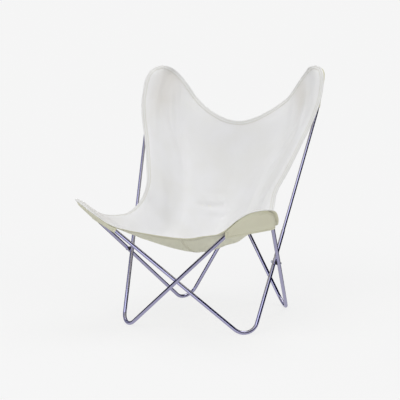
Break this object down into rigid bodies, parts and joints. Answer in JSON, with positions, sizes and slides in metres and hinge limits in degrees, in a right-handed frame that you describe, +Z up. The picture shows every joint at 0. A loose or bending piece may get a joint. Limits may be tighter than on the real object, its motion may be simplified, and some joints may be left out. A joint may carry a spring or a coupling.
{
  "type": "butterfly sling chair",
  "caption": "Lounge chair with a canvas sling hung by corner pockets over the hairpin tips of a crossed, bent steel tube frame.",
  "frame": {"origin": "on the floor, below the middle of the chair's box", "axes": "+Z up, the seat opens towards -Y, +X on the right of someone who looks at the chair from the front"},
  "size_m": [0.702, 0.7638, 0.8861],
  "materials": {
    "chrome_tube": "polished plating with soft, dark reflections",
    "bolt_steel": "satin",
    "spacer_plastic": "matte moulded",
    "canvas": "plain woven cotton, matte, natural white"
  },
  "bodies": {
    "root": {"lower_frame_left": "chrome_tube", "back_hairpin_right": "chrome_tube", "side_bolt_right": "bolt_steel", "side_nut_right": "bolt_steel", "side_spacer_right": "spacer_plastic", "lower_frame_right": "chrome_tube", "back_hairpin_left": "chrome_tube", "side_bolt_left": "bolt_steel", "side_nut_left": "bolt_steel", "side_spacer_left": "spacer_plastic", "sling_half_right": "canvas", "back_pocket_right": "canvas", "front_pocket_right": "canvas", "sling_half_left": "canvas", "back_pocket_left": "canvas", "front_pocket_left": "canvas"}
  },
  "joints": []
}
